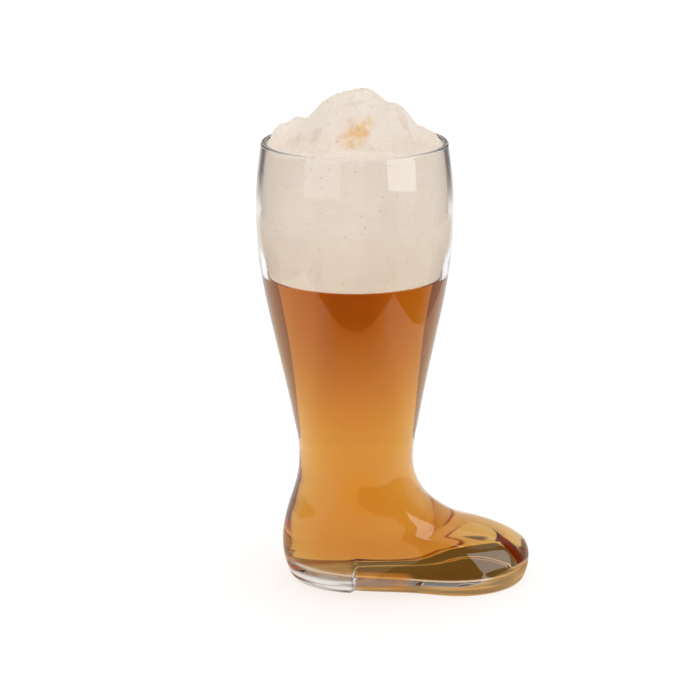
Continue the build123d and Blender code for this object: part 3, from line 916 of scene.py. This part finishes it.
# what glass shows of the studio: a dim room, dimmer in front, a light ceiling, a grey ground
back = nodes.new("ShaderNodeMapRange")
back.interpolation_type = "SMOOTHSTEP"
back.inputs["From Min"].default_value = 0.0
back.inputs["From Max"].default_value = 0.35
back.inputs["To Min"].default_value = 0.01
back.inputs["To Max"].default_value = 0.5
links.new(sep.outputs["Y"], back.inputs["Value"])
ceiling = nodes.new("ShaderNodeMapRange")
ceiling.interpolation_type = "SMOOTHSTEP"
ceiling.inputs["From Min"].default_value = 0.725
ceiling.inputs["From Max"].default_value = 0.75
ceiling.inputs["To Min"].default_value = 0.0
ceiling.inputs["To Max"].default_value = 0.72
links.new(sep.outputs["Z"], ceiling.inputs["Value"])
ground = nodes.new("ShaderNodeMapRange")
ground.inputs["From Min"].default_value = -0.03
ground.inputs["From Max"].default_value = 0.03
ground.inputs["To Min"].default_value = 0.15
ground.inputs["To Max"].default_value = 0.0
links.new(sep.outputs["Z"], ground.inputs["Value"])
path = nodes.new("ShaderNodeLightPath")
walls = nodes.new("ShaderNodeMix")
walls.data_type = "FLOAT"
walls.inputs["B"].default_value = 0.19
links.new(path.outputs["Is Transmission Ray"], walls.inputs["Factor"])
links.new(back.outputs[0], walls.inputs["A"])
upper = nodes.new("ShaderNodeMath")
upper.operation = "ADD"
links.new(ceiling.outputs[0], upper.inputs[0])
links.new(walls.outputs["Result"], upper.inputs[1])
# lamp side of the room, seen only by way of the glass
fore = times(nodes, links, gradient(nodes, links, sep.outputs["Y"], -0.30, -0.65),
             gradient(nodes, links, sep.outputs["Z"], 0.05, 0.20))
flank = times(nodes, links, gradient(nodes, links, sep.outputs["X"], -0.45, -0.75),
              gradient(nodes, links, sep.outputs["Z"], 0.10, 0.30))
lamps = nodes.new("ShaderNodeMath")
lamps.operation = "MULTIPLY_ADD"
lamps.inputs[1].default_value = 0.45
links.new(fore, lamps.inputs[0])
links.new(times(nodes, links, flank, 0.28), lamps.inputs[2])
brighter = nodes.new("ShaderNodeMath")
brighter.operation = "MULTIPLY_ADD"
links.new(lamps.outputs[0], brighter.inputs[0])
links.new(path.outputs["Is Transmission Ray"], brighter.inputs[1])
links.new(upper.outputs[0], brighter.inputs[2])
room = nodes.new("ShaderNodeMath")
room.operation = "ADD"
through = nodes.new("ShaderNodeMath")
through.operation = "MULTIPLY"
links.new(ground.outputs[0], through.inputs[0])
links.new(path.outputs["Is Transmission Ray"], through.inputs[1])
links.new(brighter.outputs[0], room.inputs[0])
links.new(through.outputs[0], room.inputs[1])
lit = nodes.new("ShaderNodeMix")
lit.data_type = "FLOAT"
lit.inputs["B"].default_value = DOME_LIGHT
links.new(path.outputs["Is Diffuse Ray"], lit.inputs["Factor"])
links.new(room.outputs[0], lit.inputs["A"])
seen = nodes.new("ShaderNodeMix")
seen.data_type = "FLOAT"
seen.inputs["B"].default_value = 1.0
links.new(path.outputs["Is Camera Ray"], seen.inputs["Factor"])
links.new(lit.outputs["Result"], seen.inputs["A"])
soft = nodes.new("ShaderNodeBackground")
warm = nodes.new("ShaderNodeMix")
warm.data_type = "RGBA"
warm.inputs["A"].default_value = (1, 1, 1, 1)
warm.inputs["B"].default_value = (1.0, 0.76, 0.56, 1)
links.new(times(nodes, links, through.outputs[0], 6.6), warm.inputs["Factor"])
links.new(warm.outputs["Result"], soft.inputs["Color"])
links.new(seen.outputs["Result"], soft.inputs["Strength"])
links.new(soft.outputs[0], out.inputs["Surface"])


def softbox(name, low_left, low_right, up, radiance, diffuse):
    """A flat lamp from two lower corners and the edge that rises from them. Its
    mirror image has the radiance given; matt things get the fraction diffuse of it."""
    a, b, u = Vector(low_left), Vector(low_right), Vector(up)
    e = (b - a)
    x = e.normalized()
    z = x.cross(u).normalized()
    y = z.cross(x)
    for part, level, matt in (("mirror", 1.0, False), ("matt", diffuse, True)):
        if level <= 0:
            continue
        lamp = bpy.data.lights.new(name + "_" + part, "AREA")
        lamp.shape = "RECTANGLE"
        lamp.size, lamp.size_y = e.length, u.length
        lamp.energy = radiance * level * math.pi * lamp.size * lamp.size_y
        ob = bpy.data.objects.new(name + "_" + part, lamp)
        rot = Matrix((x, y, z)).transposed().to_4x4()
        rot.translation = a + e / 2 + u / 2
        ob.matrix_world = rot
        ob.visible_camera = False
        ob.visible_diffuse = matt
        ob.visible_glossy = not matt
        ob.visible_transmission = False
        scene.collection.objects.link(ob)


softbox("softbox_right", (0.594, -0.756, 0.222), (0.881, -0.246, 0.176), (-0.209, 0.118, 0.407), 3.2, 0.19)
softbox("softbox_left", (-0.80, -0.46, 0.165), (-0.30, -0.90, 0.19), (0.14, 0.18, 0.41), 1.2, 0.5)

cam_data = bpy.data.cameras.new("camera")
cam_data.sensor_width = 36.0
cam_data.lens = 2012.0 / 700.0 * 36.0
cam = bpy.data.objects.new("camera", cam_data)
cam.location = (ax - 0.0025, -1.059, 0.4576)
cam.rotation_euler = (math.radians(90 - 17.03), 0, 0)
scene.collection.objects.link(cam)
scene.camera = cam

scene.view_settings.view_transform = "Standard"
scene.view_settings.look = "None"
scene.cycles.use_denoising = True
scene.cycles.max_bounces = 32
scene.cycles.transmission_bounces = 32
scene.cycles.glossy_bounces = 12
scene.cycles.diffuse_bounces = 4
scene.cycles.transparent_max_bounces = 32
scene.cycles.volume_bounces = 0
scene.cycles.sample_clamp_indirect = 10.0
